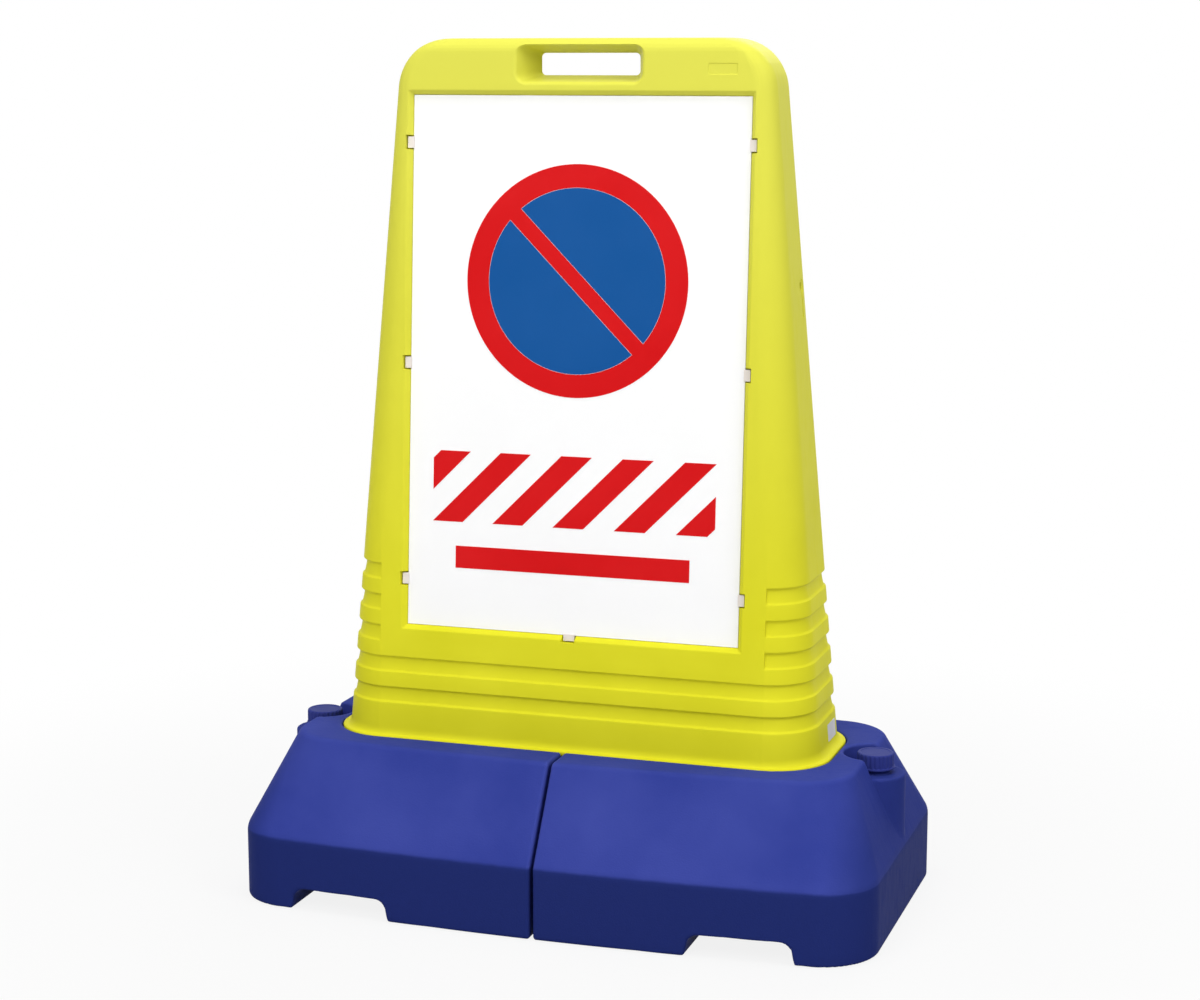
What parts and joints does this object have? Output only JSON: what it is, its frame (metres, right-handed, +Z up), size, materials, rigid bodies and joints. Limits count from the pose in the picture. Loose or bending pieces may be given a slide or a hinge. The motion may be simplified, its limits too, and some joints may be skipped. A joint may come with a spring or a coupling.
{
  "type": "freestanding sign",
  "caption": "Freestanding sign: a tapered hollow plastic tower with recessed sign plates, gripped at its foot by slide-apart water tanks with screw caps.",
  "frame": {"origin": "on the floor under the middle of the base", "axes": "+X along the width, +Y from the front to the back, +Z up; the front faces -Y"},
  "size_m": [0.762, 0.436, 1],
  "materials": {
    "yellow_plastic": "satin blow-moulded polyethylene",
    "blue_plastic": "satin blow-moulded polyethylene",
    "cap_plastic": "satin injection-moulded",
    "white_sheet": "smooth sheet",
    "red_film": "smooth film",
    "blue_film": "smooth film",
    "clip_plastic": "translucent nylon",
    "label_film": "matt film",
    "seal_rubber": "matt"
  },
  "bodies": {
    "tower": {"tower": "yellow_plastic", "front_plate": "white_sheet", "back_plate": "white_sheet", "front_ring_film": "red_film", "front_disc_film": "blue_film", "front_stripe_film": "red_film", "front_bar_film": "red_film", "back_ring_film": "red_film", "back_disc_film": "blue_film", "back_stripe_film": "red_film", "back_bar_film": "red_film", "front_side_clips": "clip_plastic", "front_foot_clip": "clip_plastic", "back_side_clips": "clip_plastic", "back_foot_clip": "clip_plastic", "side_label": "label_film"},
    "left_tank": {"left_tank": "blue_plastic"},
    "right_tank": {"right_tank": "blue_plastic"},
    "left_gasket": {"left_gasket": "seal_rubber"},
    "right_gasket": {"right_gasket": "seal_rubber"},
    "left_cap": {"left_cap": "cap_plastic"},
    "right_cap": {"right_cap": "cap_plastic"}
  },
  "joints": [
    {"name": "right_tank_slide", "type": "slide", "parent": "tower", "child": "right_tank", "axis": [1, 0, 0], "range_m": [0, 0.33]},
    {"name": "left_tank_slide", "type": "slide", "parent": "tower", "child": "left_tank", "axis": [-1, 0, 0], "range_m": [0, 0.33]},
    {"name": "right_cap_lift", "type": "slide", "parent": "right_tank", "child": "right_gasket", "axis": [0, 0, 1], "range_m": [0, 0.0101]},
    {"name": "left_cap_lift", "type": "slide", "parent": "left_tank", "child": "left_gasket", "axis": [0, 0, 1], "range_m": [0, 0.0101]},
    {"name": "right_cap_turn", "type": "hinge", "parent": "right_gasket", "child": "right_cap", "pos_m": [0.343, 0.009, 0.18], "axis": [0, 0, 1], "range_deg": [0, 720]},
    {"name": "left_cap_turn", "type": "hinge", "parent": "left_gasket", "child": "left_cap", "pos_m": [-0.343, -0.009, 0.18], "axis": [0, 0, 1], "range_deg": [0, 720]}
  ],
  "couplings": [
    {"joint": "right_cap_lift", "follows": "right_cap_turn", "m_per_rad": 0.00079577},
    {"joint": "left_cap_lift", "follows": "left_cap_turn", "m_per_rad": 0.00079577}
  ]
}
